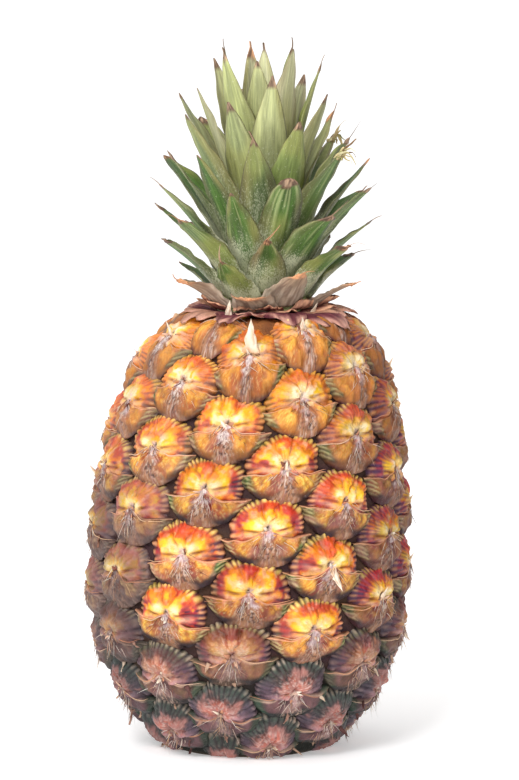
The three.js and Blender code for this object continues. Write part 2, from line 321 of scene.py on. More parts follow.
woodMaterial = paintedMaterial("cutStalkWood", dict(
    grainScale=600, grainContrast=0.8, stretch=(1, 1, 0.3), roughness=(0.7, 0.95),
    bumpHeight=0.0006, bumpStrength=0.8, specular=0.25, colours=("7d6138", "c9ab74")))
print("materials made")


# the fruit's outline and the spiral of its eyes, in millimetres and degrees
fruit = dict(
    height=149.0, radius=55.0, widestHeight=56.0, restRadius=26.0, seatRadius=24.0,
    bend=7.0, bendStart=60.0, bendLength=130.0,
    eyePitch=1.62, pitchGrowth=0.75, eyeTurn=138.0, frontAzimuth=-83.5, frontHeight=81.0,
    rimMargin=-5.0, seatMargin=-9.0,  # how far inside the flat spot and the seat the eyes begin and end
    eyeTilt=5.0, eyeStray=0.5, eyeLift=0.6,  # each eye is turned and moved a little in its place
    pastRim=13.0, pastSeat=14.0, leastRadius=8.0,  # nothing on an eye goes further or turns tighter
    outlineSteps=1600, flatSteps=40, evenSteps=900, softenedSteps=25,
)


def bendAt(z):
    # how far the axis has leaned over at a height: a soft step from where the bend starts
    return fruit["bend"] * smooth((z - fruit["bendStart"]) / fruit["bendLength"])


def outlineTable():
    # below the widest place: rest radius plus the rest times (1 - t squared) to the 0.75,
    # above it: seat radius plus the rest times the root of 1 - t to the 2.4
    z = fruit["height"] * (1 - np.cos(np.linspace(0, np.pi, fruit["outlineSteps"]))) / 2
    down = np.clip(1 - z / fruit["widestHeight"], 0, 1)
    up = np.clip((z - fruit["widestHeight"]) / (fruit["height"] - fruit["widestHeight"]), 0, 1)
    low = fruit["restRadius"] + (fruit["radius"] - fruit["restRadius"]) * (1 - down ** 2) ** 0.75
    high = fruit["seatRadius"] + (fruit["radius"] - fruit["seatRadius"]) * np.sqrt(1 - up ** 2.4)
    r = np.where(z < fruit["widestHeight"], low, high)
    along = np.concatenate([[0], np.cumsum(np.hypot(np.diff(r), np.diff(z)))])
    # the flat spot and the seat carry the outline on towards the axis
    flat = np.linspace(-fruit["restRadius"] + 1, -0.2, fruit["flatSteps"])
    seat = np.linspace(0.2, fruit["seatRadius"] - 1, fruit["flatSteps"])
    rindLength = along[-1]
    along = np.concatenate([flat, along, rindLength + seat])
    r = np.concatenate([fruit["restRadius"] + flat, r, fruit["seatRadius"] - seat])
    z = np.concatenate([0 * flat, z, 0 * seat + fruit["height"]])
    return along, r, z, rindLength


tableAlong, tableR, tableZ, rindLength = outlineTable()
evenAlong = np.linspace(tableAlong[0], tableAlong[-1], fruit["evenSteps"])
evenR, evenZ = np.interp(evenAlong, tableAlong, tableR), np.interp(evenAlong, tableAlong, tableZ)
softener = np.ones(fruit["softenedSteps"]) / fruit["softenedSteps"]
slopeR, slopeZ = (np.convolve(np.pad(np.gradient(even), len(softener) // 2, "edge"), softener, "valid")
                  for even in (evenR, evenZ))
slopeSize = np.hypot(slopeR, slopeZ)
evenNormalR, evenNormalZ = slopeZ / slopeSize, -slopeR / slopeSize


def radiusAt(along):
    return np.interp(along, evenAlong, evenR)


def onRind(azimuth, along, lift):
    # the place at a direction and a distance along the rind, lifted off it along its normal
    normalR, normalZ = np.interp(along, evenAlong, evenNormalR), np.interp(along, evenAlong, evenNormalZ)
    r = np.interp(along, evenAlong, evenR) + lift * normalR
    z = np.maximum(np.interp(along, evenAlong, evenZ) + lift * normalZ, 0.02)
    return np.stack([r * np.cos(azimuth) + bendAt(z), r * np.sin(azimuth), z], axis=-1)


def eyeTable():
    # number, distance along the rind and direction of each eye: from the front eye up and down
    # the spiral, by a step that grows as the fruit narrows
    front = evenAlong[np.argmax((evenZ >= fruit["frontHeight"]) & (evenAlong > 0))]
    found = []
    for way in (1, -1):
        along, k = front, 0
        while fruit["rimMargin"] < along < rindLength - fruit["seatMargin"]:
            if k != 0 or way == 1:
                found.append((k, along, math.radians(fruit["frontAzimuth"] - fruit["eyeTurn"] * k)))
            along += way * fruit["eyePitch"] * (fruit["radius"] / radiusAt(along)) ** fruit["pitchGrowth"]
            k += way
    found.sort()
    return np.array(found)


eyeNumber, eyeAlong, eyeAzimuth = eyeTable().T
eyeCount = len(eyeNumber)
eyeRadius = radiusAt(eyeAlong)
eyeHeight = np.interp(eyeAlong, evenAlong, evenZ)
highShare = eyeHeight / fruit["height"]
# eyes grow narrower and taller where the fruit narrows, and taller again round the crown
eyeWide = (eyeRadius / fruit["radius"]) ** 0.5
eyeTall = (fruit["radius"] / eyeRadius) ** 0.35 * (1 + 0.2 * smooth((highShare - 0.88) / 0.06))
# sideAngle: 0 at the front, positive towards +X
sideAngle = np.degrees(np.arctan2(np.cos(eyeAzimuth), -np.sin(eyeAzimuth)))
print("eyes:", eyeCount)

# how each eye is coloured: dusk is the dark green and purple of the lowest rows, gold the
# yellow of the top with painted light, wine the dark red of one side and dull the brown of
# the other, both with painted shade
eyeDusk = 1 - (1 - smooth((0.36 - highShare + 0.04 * chance(eyeNumber, 31)) / 0.2)) ** 2
eyeGoldAndLight = smooth((highShare - 0.62) / 0.3) * (0.8 + 0.2 * chance(eyeNumber, 32))
eyeWineAndShade = smooth((sideAngle - 22) / 45) * smooth((150 - sideAngle) / 40)
eyeDullAndShade = smooth((-sideAngle - 32) / 28) * smooth((170 + sideAngle) / 40)
eyeDullAndShade = eyeDullAndShade * (1 - 0.8 * smooth((highShare - 0.55) / 0.15))


def column(values):
    return values[:, None, None]


def fromEye(azimuth, along, u, v, lift):
    # u to the right and v upwards along the rind from an eye's centre, in millimetres
    azimuth = azimuth + u / np.maximum(radiusAt(along + 0.75 * v), fruit["leastRadius"])
    return onRind(azimuth, np.clip(along + v, -fruit["pastRim"], rindLength + fruit["pastSeat"]), lift)


def eyePlace(u, v, lift):
    # places on every eye, with the eye turned and moved a little
    turn = column(np.radians(fruit["eyeTilt"]) * chance(eyeNumber, 33))
    strayU, strayV = (fruit["eyeStray"] * column(chance(eyeNumber, k)) for k in (34, 35))
    u, v = (u * np.cos(turn) + v * np.sin(turn) + strayU,
            v * np.cos(turn) - u * np.sin(turn) + fruit["eyeLift"] + strayV)
    return fromEye(column(eyeAzimuth), column(eyeAlong), u, v, lift)


# the domed upper half of each eye, in millimetres
dome = dict(
    halfWidth=14.2, halfHeight=10.9, lowerHeight=9.2, fullness=3.4, rimDrop=2.7,
    fluteRate=17.5, fluteDepth=0.75, rimWave=0.03, wedgeAngle=25.0, cheekOut=5.8,
    aroundSteps=168, outSteps=27, sweep=150.0,
)


def rimReach(ang, n):
    # distance from the centre to the rim: an ellipse pulled a little towards a hexagon, flatter below
    a = dome["halfWidth"] * column(eyeWide)
    b = np.where(np.abs(ang) < np.pi / 2, dome["halfHeight"], dome["lowerHeight"]) * column(eyeTall)
    reach = 1 / np.sqrt((np.sin(ang) / a) ** 2 + (np.cos(ang) / b) ** 2)
    reach = reach * (1 + 0.035 * np.cos(6 * ang + 0.5 * chance(n, 9)))
    return reach * (1 + 0.12 * (softNoise(ang * 1.9 + n * 5, n, 14) - 0.5))


def makeDomes():
    # ang runs round the eye from its top, rho out from its centre to 1 at the rim and a little on;
    # the height falls off as rho to the power of the rim's drop
    n = column(eyeNumber)
    ang = np.radians(np.linspace(-dome["sweep"], dome["sweep"], dome["aroundSteps"]))[None, :, None] + 0 * n
    rho = 1.08 * np.linspace(0, 1, dome["outSteps"])[None, None, :] ** 0.85 + 0 * ang
    # flutes: rounded crests with narrow valleys near the rim, their spacing and depth wandering
    wander = softNoise(ang * 2.2 + n * 3.1, n * 1.7, 5) * 3.0 + softNoise(ang * 6 + n * 2.7, n * 1.3, 6) * 1.2
    phase = ang * dome["fluteRate"] * (1 + 0.12 * chance(n, 11)) + wander + 3 * chance(n, 12)
    crest = np.abs(np.sin(phase)) ** 0.6
    uneven = 0.4 + 1.1 * softNoise(ang * 2.3 + n * 1.7, n * 2.3, 8)
    start = 0.62 + 0.22 * softNoise(ang * 3.1 + n * 2.1, n, 7)
    strength = smooth((rho - start) / (0.98 - start))
    reach = rimReach(ang, n) * (1 + dome["rimWave"] * (crest - 0.5) * uneven)
    u, v = rho * reach * np.sin(ang), rho * reach * np.cos(ang)
    w, h = column(eyeWide), column(eyeTall)
    lift = 0.2 - dome["fullness"] * np.minimum(rho, 1.3) ** dome["rimDrop"]
    lift = lift - 26 * np.maximum(rho - 0.99, 0)
    lift = lift + dome["fluteDepth"] * (crest - 0.7) * strength * uneven * (1 - smooth((rho - 1) / 0.1))
    # lumps under the skin, two side lobes, and a V of two furrows between them with a lobe in it
    lumps = softNoise(u * 0.42 + n * 7, v * 0.42, 20)
    mottle = softNoise(u * 0.95 + n * 7, v * 0.95, 21)
    fine = softNoise(u * 2.3 + n * 7, v * 2.3, 26)
    lift = lift + (1.5 * (lumps - 0.5) + 0.6 * (mottle - 0.5) + 0.2 * (fine - 0.5)) * smooth(rho / 0.35)
    for side in (-1, 1):
        lift = lift + 0.9 * bump(u / w - side * 5.0, 3.2) * bump(v / h - 1.8, 3.2)
    wedge = np.radians(dome["wedgeAngle"] + 7 * chance(n, 13))
    tilt = np.radians(9 * chance(n, 15))
    fromWedge = np.abs(ang - tilt) - wedge + 0.35 * (softNoise(rho * 5 + n, n + np.sign(ang), 16) - 0.5)
    wedgeDepth = 0.55 + 0.45 * chance(n, 18)
    wedgeReach = smooth((rho - 0.12) / 0.2) * smooth((1.02 - rho) / 0.2)
    lift = lift - 0.9 * wedgeDepth * bump(fromWedge, 0.1) * wedgeReach
    inWedge = smooth(-fromWedge / 0.16)
    lift = lift + 0.4 * inWedge * bump(rho - 0.6, 0.25)
    pucker = softNoise(ang * 7 + n * 3, rho * 4, 22)  # creases that run out from the centre
    lift = lift + 0.35 * (pucker - 0.5) * bump(rho - 0.24, 0.2) - 0.9 * bump(rho, 0.09)
    # folded cheeks on both sides just above the bract's margin, with a crease over them
    slant = 0.14 + 0.1 * chance(n, 19) * np.sign(u)
    fold = bump(np.abs(u / w) - dome["cheekOut"], 3.4) * bump(v / h + 2.7 - slant * np.abs(u), 1.0)
    crease = bump(np.abs(u / w) - 5.6, 3.8) * bump(v / h + 1.1 - slant * np.abs(u), 0.45)
    lift = lift + 0.7 * fold - 0.7 * crease

    # masks for the colours
    patch = softNoise(u * 0.3 + n * 3, v * 0.3 + n, 23)
    blush = softNoise(u * 0.7 + n, v * 0.7, 38)
    red = smooth((softNoise(ang * 1.5 + n * 3, n, 27) - 0.35) / 0.3)
    green = softNoise(ang * 1.2 + n * 9, n, 29)
    cloud = rho + 0.6 * (patch - 0.5) + 0.3 * (mottle - 0.5) + 0.05 * (pucker - 0.5)
    hot = smooth((chance(n, 37) + 0.7) / 1.3)  # some eyes are crimson outwards, others stay yellow
    right = 0.7 + 0.3 * np.sign(ang)
    bruiseAndShade = 0.2 + 0.7 * right * smooth((chance(n, 30) + 0.8) / 0.8) + 0.5 * column(eyeWineAndShade)
    glare = bump(np.abs(u / w) - 3.3, 1.9) * bump(v / h - 1.5 - 0.9 * chance(n, 24) * np.sign(u), 1.6)
    flank = smooth((np.abs(ang) - np.radians(52)) / np.radians(30))
    plum = smooth((np.abs(ang) - np.radians(60)) / np.radians(22)) * smooth((cloud - 0.62) / 0.16)
    valley = np.clip((1 - crest) * 1.5, 0, 1)
    meal = smooth((1.3 + 0.42 * np.maximum(-v, 0) + 1.2 * (pucker - 0.5) - np.abs(u)) / 0.8)
    meal = meal * smooth((2.2 - v) / 1.4)
    slit = bump(u - 0.9 * chance(n, 36) - 0.4 * v, 0.35) * bump(v - 0.5, 0.9)
    lift = lift - 0.6 * slit
    goldAndLight = column(eyeGoldAndLight) * smooth((rho - 0.3) / 0.3) * (1 - smooth((rho - 0.97) / 0.08))
    paleHeart = column(eyeGoldAndLight) * bump(np.hypot(u * 0.8, v - 0.5), 3.4 + 2 * pucker)
    wineAndShade = column(eyeWineAndShade) * smooth((rho - 0.3) / 0.3) * (1 - crest ** 3 * 0.7)
    dullAndShade = column(eyeDullAndShade) * smooth((rho - 0.15) / 0.35)
    outer = smooth((cloud - 0.36) / 0.3)
    offCentre = smooth((rho - 0.16) / 0.1)

    paleRim = paint(
        np.full(u.shape + (3,), linear("f2d27a")),
        ("c9b35a", 0.8 * smooth((patch - 0.4) / 0.2)),
        ("ea9a78", 0.7 * flank))
    dusk = paint(
        np.full(u.shape + (3,), linear("ac7670")),
        ("343438", outer),
        # painted shade: near black down in the valleys
        ("0b0d14", 0.9 * valley * outer),
        ("41584c", 0.7 * crest ** 2 * smooth((rho - 0.6 + 0.3 * (patch - 0.5)) / 0.2) * (1 - flank)),
        ("c9b0a0", 0.6 * crest ** 4 * smooth((rho - 0.84) / 0.1) * uneven),
        ("5e4a5e", 0.7 * flank * outer * (1 - 0.5 * valley)),
        ("c06048", 0.6 * smooth((mottle - 0.45) / 0.2) * bump(rho - 0.3, 0.22)),
        ("dcc4bc", 0.5 * smooth((fine - 0.55) / 0.2) * bump(rho - 0.25, 0.3)),
        ("b48a92", 0.8 * fold))
    shoulders = bump(np.abs(u / w) - 5.6, 2.6) * bump(v / h - 1.2, 2.4)
    greenRim = smooth((green - 0.55) / 0.15) * smooth((rho - 0.74) / 0.14)
    tone = paint(
        # pale by the centre, yellow, orange and red outwards, in patches of uneven width
        np.full(u.shape + (3,), linear("f6d28a")),
        ("f7b51c", smooth((cloud - 0.1) / 0.14)),
        ("f08a1b", smooth((cloud - 0.36) / 0.2)),
        ("e2641d", 0.9 * smooth((cloud - 0.66) / 0.22)),
        ("fbd01a", 0.9 * shoulders * smooth((0.75 - patch) / 0.3)),
        ("fdeec4", 0.95 * glare * smooth((mottle - 0.2) / 0.35)),
        ("a82430", 0.7 * hot * smooth((cloud - 0.6) / 0.2)),
        ("f3c0a0", 0.45 * smooth((blush - 0.62) / 0.12) * smooth((rho - 0.2) / 0.2)),
        # red wedge at the top, and red to crimson flanks, neither the same on any two eyes
        ("d8321a", 0.95 * inWedge * smooth((cloud - 0.4) / 0.18) * (0.55 + 0.45 * chance(n, 28))),
        ("a83018", 0.55 * bump(fromWedge, 0.07) * smooth((rho - 0.2) / 0.2)),
        ("b81c38", 0.9 * flank * (0.45 + 0.55 * red) * smooth((cloud - 0.5) / 0.2)),
        ("cc3418", 0.5 * (1 - flank) * smooth((red - 0.5) / 0.5) * smooth((cloud - 0.6) / 0.2)),
        # pale crests and dark valleys at the rim, the valleys partly painted shade, green in places
        ("5a1422", 0.9 * valley * smooth((rho - start) / 0.2) * np.clip(0.2 + uneven, 0, 1)),
        (paleRim, 0.95 * crest ** 2 * smooth((rho - 0.78) / 0.1) * np.clip(0.3 + uneven, 0, 1)),
        ("66702c", 0.7 * greenRim * (1 - 0.7 * crest ** 3)),
        # violet bruise on one side, more to the right, and deeper on the wine side as painted shade
        ("32173c", bruiseAndShade * plum * (1 - 0.75 * crest ** 4)),
        ("eab494", 0.85 * fold * offCentre),
        ("b8503a", 0.5 * fold * smooth((mottle - 0.5) / 0.2)),
        ("8c2c24", 0.8 * crease * offCentre),
        # the dried flower: a pale mealy wedge that opens downwards, with a dark slit at its top
        ("d9c0c0", 0.85 * meal),
        ("b08488", 0.6 * meal * smooth((fine - 0.55) / 0.2)),
        ("1a0a0c", 0.95 * slit),
        # painted shade past the rim, down in the groove
        ("4a2230", 0.8 * smooth((rho - 0.9) / 0.07) * (1 - 0.75 * crest ** 3)),
        ("24101a", smooth((rho - 0.97) / 0.05) * (0.8 + 0.2 * valley)),
        # whole eyes that differ: gold near the top, partly painted light; wine on one side and dull at
        # the other, partly painted shade; dusk below
        ("f6a326", 0.62 * goldAndLight * (1 - 0.6 * valley)),
        ("f7e6cf", 0.8 * paleHeart * smooth((mottle - 0.25) / 0.3)),
        ("5a1e58", 0.64 * wineAndShade),
        (mix(linear("4c3444"), linear("a48480"), mottle[..., None]), (0.55 + 0.3 * lumps) * dullAndShade),
        (dusk, 0.98 * column(eyeDusk)))
    # painted shade and light on whole eyes: darker on the wine and dull sides and a little on the lowest rows,
    # lighter at the gold top; the rest is a random tone and the lumps
    shade = 1 - 0.25 * column(eyeWineAndShade) - 0.35 * column(eyeDullAndShade)
    shade = shade - 0.02 * column(eyeDusk) + 0.06 * column(eyeGoldAndLight)
    shade = 0.92 * (1 + 0.14 * chance(n, 17)) * shade * (0.84 + 0.32 * lumps)
    lift[:, :, 0] = lift[:, :1, 0]  # the centre is one place from all sides
    return eyePlace(u, v, lift), np.clip(tone, 0, 1) ** 1.1 * shade[..., None]


domePoints, domeTones = makeDomes()
print("domes shaped", domePoints.shape)

# the fleshy bract that makes the lower half of each eye
bract = dict(halfWidth=16.6, foot=13.2, footHalfWidth=10.4, acrossSteps=90, downSteps=32, lip=0.22)


def bractEdge(s, n):
    # the upper margin: down from the centre for over half of the way out, then level or
    # gently up to the tips, differently on the two sides
    lowest = 3.1 + 0.9 * chance(n, 41) * np.sign(s)
    down = smooth(np.abs(s) / (0.56 + 0.14 * chance(n, 42)) + 0.12) - smooth(0.12)
    return -0.5 - lowest * down + (0.3 + 0.9 * chance(n, 44) * np.sign(s)) * smooth((np.abs(s) - 0.5) / 0.5)


def bractPlan(s, t, n):
    # where a point of the bract lies: s runs across from tip to tip, t down from the margin to the foot
    body = np.clip(t, 0, 1)
    top = bractEdge(s, n) + 0.7 * (softNoise(s * 6 + n * 3, n + 0 * s, 43) - 0.5)
    bottom = -bract["foot"] + 3.2 * s ** 2
    u = mix(bract["halfWidth"] * s, bract["footHalfWidth"] * s, body ** 1.5)
    return u, mix(top, bottom, t)


def bractHump(u, v):
    # like the dome at the margin, tucked in at the foot and at the tips, fleshy on both sides
    hump = 0.35 - 3.3 * np.clip((-v - 5.0) / 8.0, 0, 1.3) ** 2 - 2.6 * (np.abs(u) / 15.0) ** 3
    return hump + 0.6 * bump(np.abs(u) - 6.4, 3.0) * bump(v + 6.0, 2.8)


def makeBracts():
    # a few rows turn in over the margin, the rest run down to the foot
    n = column(eyeNumber)
    rows = np.concatenate([[-0.05, -0.035, -0.012], np.linspace(0, 1, bract["downSteps"] - 3) ** 1.05])
    t = rows[None, :, None] + 0 * n
    s = np.linspace(-1, 1, bract["acrossSteps"])[None, None, :] + 0 * t
    t = t + 0 * s
    u, v = bractPlan(s, t, n + 0 * t)
    # direction seen from the dried flower: fibres and streaks all run out from it
    fan = np.arctan2(u, 1.5 - v)
    out = np.hypot(u, v)
    ragged = u + 2.6 * (softNoise(v * 0.9 + n, n + np.sign(u), 45) - 0.5) + 0.12 * chance(n, 39) * v
    fibres = smooth(1.25 - np.abs(ragged) / (1.2 + (0.38 + 0.2 * chance(n, 46)) * np.maximum(-v - 1, 0)))
    strand = softNoise(fan * 17 + n * 11, out * 0.45 + n, 47)
    wisp = softNoise(fan * 40 + n * 5, out * 0.8 + n, 49)
    lumps = softNoise(u * 0.5 + n, v * 0.5, 48)
    lift = bractHump(u, v) + 0.5 * fibres * smooth((-v - 0.5) / 2)
    edge = np.clip(t / 0.045, -1, 1)
    lift = lift + bract["lip"] * bump(t - 0.01, 0.03) - 1.3 * smooth(-edge)
    rough = smooth(t / 0.08)
    lift = lift + (0.45 * (strand - 0.5) + 0.35 * (wisp - 0.5)) * (0.35 + fibres) * rough
    lift = lift + 1.3 * (lumps - 0.5) * rough
    side = smooth((np.abs(s) - 0.62) / 0.16) * smooth((0.9 - t) / 0.3)
    rib = np.abs(np.sin(v * 2.2 - np.abs(u) * 0.9 + n + 2 * lumps)) ** 0.6
    sideEdge = smooth((np.abs(s) - 0.8 + 0.1 * (lumps - 0.5)) / 0.18) * smooth(t / 0.12)
    lift = lift + 0.5 * (rib - 0.6) * side * rough - 1.5 * sideEdge ** 2

    # masks for the colours
    patch = softNoise(u * 0.28 + n * 2, v * 0.28, 51)
    speck = softNoise(u * 1.9 + n, v * 1.6, 50)
    film = smooth((softNoise(u * 0.22 + n * 5, v * 0.3, 40) - 0.5) / 0.2) * smooth((0.7 - t) / 0.2)
    ripe = 0.55 + 0.45 * chance(n, 58)  # some bracts are yellow, others orange brown
    green = np.clip((0.55 + 0.45 * chance(n, 53) * np.sign(s)) * 1.3, 0, 1)
    wing = bump(np.abs(fan) - 0.9 + 0.6 * (lumps - 0.5), 0.34)
    wing = wing * smooth((out - 2.5) / 2) * smooth((14 - out) / 3.5)
    foot = smooth((t - 0.42 + 0.3 * (lumps - 0.5)) / 0.3) * (1 - 0.6 * column(eyeGoldAndLight))
    footShade = smooth((t - 0.56 + 0.3 * (lumps - 0.5)) / 0.26) * (1 - 0.5 * column(eyeGoldAndLight))
    low = smooth((t - 0.25) / 0.2) * smooth((0.85 - t) / 0.15)
    flesh = (1 - fibres) * (1 - side)
    pale = mix(linear("d8c0c4"), linear("a87a5a"), smooth((t - 0.12 + 0.4 * (lumps - 0.5)) / 0.3)[..., None])
    dusk = paint(
        np.full(u.shape + (3,), linear("755258")),
        ("b08e8a", fibres),
        # painted shade: near black at the foot, and dark in patches
        ("1f2828", 0.85 * foot + 0.5 * smooth((0.5 - patch) / 0.3)),
        ("d4b4a0", 0.85 * bump(t, 0.03) + 0.6 * fibres * smooth((0.42 - wisp) / 0.2)),
        ("28503c", 0.75 * side))
    tone = paint(
        np.full(u.shape + (3,), linear("864644")),
        ("b86e4a", smooth((patch - 0.35) / 0.3)),
        ("a83c30", 0.75 * smooth((0.45 - patch) / 0.2)),
        ("d98a80", 0.6 * bump(t - 0.08, 0.07) * smooth((lumps - 0.35) / 0.3)),
        ("8f3c2c", 0.6 * smooth((strand - 0.56) / 0.16)),
        ("f8e0a0", 0.45 * smooth((0.34 - wisp) / 0.14)),
        # two yellow wings run out and down from the flower
        ("f4b01c", (0.62 + 0.3 * ripe) * wing * (0.75 + 0.5 * (wisp - 0.5))),
        # paler yellow at the middle of each wing, partly painted highlight
        ("fde27a", 0.8 * ripe * wing ** 2 * smooth((wisp - 0.5) / 0.2)),
        # far tips: green with cream ribs on most eyes
        ("456228", 0.85 * side * green * (0.5 + lumps)),
        ("d9cc94", 0.6 * side * rib ** 4 * smooth((np.abs(s) - 0.7) / 0.1)),
        # lower part: olive, then brown and near black at the foot, partly painted shade, and painted shade
        # along the lower side edges
        ("54402a", 0.85 * foot * (1 - 0.7 * wing)),
        ("2a1420", 0.95 * footShade),
        ("38201e", 0.85 * sideEdge * (1 - 0.5 * rib ** 3)),
        # fibrous strip: lavender white at the top, pinkish brown lower, streaked light and dark
        (pale, np.clip(1.1 * fibres, 0, 0.95)),
        ("94605a", 0.5 * fibres * smooth((strand - 0.5) / 0.2)),
        ("f0dfd4", 0.6 * fibres * smooth((0.46 - wisp) / 0.14) * (1 - 0.7 * foot)),
        ("40201e", 0.75 * smooth((speck - 0.64) / 0.08) * fibres * low),
        ("c9938a", 0.35 * film * (1 - fibres) * (1 - 0.9 * wing)),
        # thin pale margin with a dark line over it
        ("f2b08c", 0.95 * bump(t, 0.022) * (1 - 0.8 * fibres)),
        ("6a2622", 0.85 * smooth((-t - 0.02) / 0.02)),
        # whole eyes that differ: wine and dull sides partly painted shade, gold top partly painted light
        ("6a3640", 0.58 * column(eyeWineAndShade) * flesh),
        (mix(linear("54404a"), linear("b49688"), wisp[..., None]), 0.84 * column(eyeDullAndShade)),
        ("ec9a3a", 0.5 * column(eyeGoldAndLight) * flesh * (1 - smooth((t - 0.75) / 0.2))),
        (dusk, 0.98 * column(eyeDusk)))
    # painted shade on whole bracts: darker on the wine and dull sides and a little on the lowest rows; the rest
    # is a random tone and the lumps
    shade = 0.88 * (1 + 0.14 * chance(n, 57)) * (0.84 + 0.32 * lumps)
    shade = shade * (1 - 0.28 * column(eyeWineAndShade) - 0.35 * column(eyeDullAndShade) - 0.02 * column(eyeDusk))
    tone = np.clip(tone, 0, 1) ** 1.1 * shade[..., None]
    meal = (0.26 + 0.22 * chance(n, 59)) * fibres * (1 - 0.9 * smooth((t - 0.25) / 0.35))
    points = eyePlace(u * column(eyeWide), v * column(eyeTall), lift)
    return points, np.concatenate([tone, np.clip(meal, 0, 1)[..., None]], axis=-1)


bractPoints, bractTones = makeBracts()
print("bracts shaped", bractPoints.shape)

# out of sight below the skin every dome is closed to one place, and every bract from tip to tip
sunk = np.broadcast_to(onRind(column(eyeAzimuth), column(eyeAlong), -9.0), domePoints[:, :, :1].shape)
domePoints = drawEnds(np.concatenate([domePoints, sunk], axis=2))
domeTones = drawEnds(np.concatenate([domeTones, domeTones[:, :, -1:]], axis=2))
bractPoints, bractTones = drawEnds(bractPoints), drawEnds(bractTones)
# eyes are gathered in bands, from the base up
bandCount = 7
for band, chosen in enumerate(np.array_split(np.arange(eyeCount), bandCount), start=1):
    for name, points, tones, material in (("eyeDomes", domePoints, domeTones, rindMaterial),
                                          ("eyeBracts", bractPoints, bractTones, bractMaterial)):
        piece = gridMesh("%s_%d" % (name, band), points[chosen], tones[chosen], closeAcross=True)
        finishPiece(piece, material, ["fruit"])

# skin in the grooves, with the flat spot and the seat
skin = dict(around=200, up=150, depth=3.9, pocketRadius=13.4, pocketHeight=9.3)


def makeSkin():
    # the outline turned round the axis, sunk by the grooves' depth except at both ends
    azimuth = np.linspace(0, 2 * np.pi, skin["around"], endpoint=False)[None, None, :]
    first, last = skin["pocketRadius"] - fruit["restRadius"], rindLength + fruit["seatRadius"] - 2
    along = np.linspace(first, last, skin["up"])[None, :, None]
    fade = smooth(along / 9) * smooth((rindLength - along) / 9)
    lift = -skin["depth"] * fade + 0.5 * (softNoise(azimuth * 16, along * 0.4, 61) - 0.5) * fade
    points = onRind(azimuth + 0 * along, along + 0 * azimuth, lift)
    z = points[..., 2]
    patch, streak = softNoise(azimuth * 9, along * 0.2, 63), softNoise(azimuth * 26, along * 0.7, 64)
    tone = paint(
        np.full(points.shape, linear("341a24")),
        ("46301e", patch),
        ("1d1e18", smooth((40 - z) / 20)),
        (mix(linear("6a3a20"), linear("a86a34"), patch[..., None]), 0.85 * smooth((z - 134) / 8)),
        (mix(linear("4c3a2a"), linear("8a6c4a"), streak[..., None]), smooth((2 - along) / 3)))
    return points, tone


skinPoints, skinTones = makeSkin()
# at the base the skin goes up round the cut stalk and over it
pocket = skinPoints[:, :1] * [1, 1, 0] + [0, 0, skin["pocketHeight"]]
skinPoints = drawEnds(np.concatenate([pocket, skinPoints], axis=1))
skinTones = drawEnds(np.concatenate([skinTones[:, :1], skinTones], axis=1))
piece = gridMesh("grooveSkin", skinPoints, skinTones, closeAcross=True, lowest=0.02)
finishPiece(piece, skinMaterial, ["fruit"])
print("skin made")

# dried threads, fibres, flakes and tails, and standing flowers on the eyes
dried = dict(
    marginSteps=16, marginRadius=0.15, marginColours=("efb089", "e8c09a", "c98a6a", "f2cdb0"),
    fibresPerEye=20, hairsPerEye=1, fibreRadius=0.12, hairRadius=0.07,
    fibreColours=("e9d3c2", "c9a088", "8a5a48", "f2e6d8", "6d4238", "d8b088"),
    flakesPerEye=3, flakeColours=("f0dcc6", "e2b79c", "c58a6c", "8c5242", "f5e8d6"),
    tailColours=("c9a58c", "8c6250", "e0c8b0", "6a4440", "b58a78"),
    sheetThickness=0.25, lowest=0.35,
    # eye number: length, half width and lean of its standing flower
    spikes={34: (13.5, 2.7, 86), 42: (9, 1.8, 62), -8: (9, 1.9, -78), -16: (6, 1.4, 80), 21: (4, 1.2, 120),
            39: (6, 1.4, 110), 13: (4, 1.0, 95), 6: (7, 1.6, 60), -11: (6, 1.5, 100), 28: (7, 1.7, 75),
            44: (6, 1.6, 88), 37: (7, 1.6, 70), -24: (6, 1.5, -60), 2: (5, 1.3, 130)})
picks = np.random.default_rng(7)
upward = np.array([0, 0, 1.0])


def each(values):
    # one number for each thread or sheet
    return values[:, None, None, None]


def eyeSpot(which, u, v, lift):
    # a place on each chosen eye
    return fromEye(eyeAzimuth[which], eyeAlong[which], u, v, lift)


def sidewaysAt(which):
    return np.stack([-np.sin(eyeAzimuth[which]), np.cos(eyeAzimuth[which]), 0.0 * which], axis=-1)


def outwardAt(which):
    return np.stack([np.cos(eyeAzimuth[which]), np.sin(eyeAzimuth[which]), 0.15 + 0 * which], axis=-1)


def threadTones(shape, colours, seed):
    # each thread takes one of a few colours, darker towards its root
    pick = np.random.default_rng(seed).integers(0, len(colours), shape[0])
    tone = column(np.array([linear(c) for c in colours])[pick]) + np.zeros(shape + (3,))
    return tone * np.linspace(0.75, 1.0, shape[1])[None, :, None, None]


def makeMarginThreads():
    # a thread along each half of a bract's margin, running on past its tip
    which = np.repeat(np.arange(eyeCount), 2)[:, None]
    n = eyeNumber[which]
    share = np.linspace(0, 1, dried["marginSteps"])[None]
    s = np.tile([-1.0, 1.0], eyeCount)[:, None] * (0.12 + (0.8 + 0.1 * chance(n, 81)) * share)
    u, v = bractPlan(s, 0 * s, n)
    lift = bractHump(u, v) + 0.3 + 0.9 * smooth((np.abs(s) - 0.7) / 0.25) * np.maximum(chance(n, 82), 0)
    line = eyeSpot(which, u * eyeWide[which], v * eyeTall[which] + 0.8, lift)
    along = unit(np.gradient(line, axis=1))
    out = unit(np.cross(along, upward))
    thick = dried["marginRadius"] * (1 - 0.75 * share ** 2)[..., None, None]
    ring = ringsRound(line, out, np.cross(out, along), thick, thick, 4)
    return ring, threadTones(ring.shape[:3], dried["marginColours"], 3)


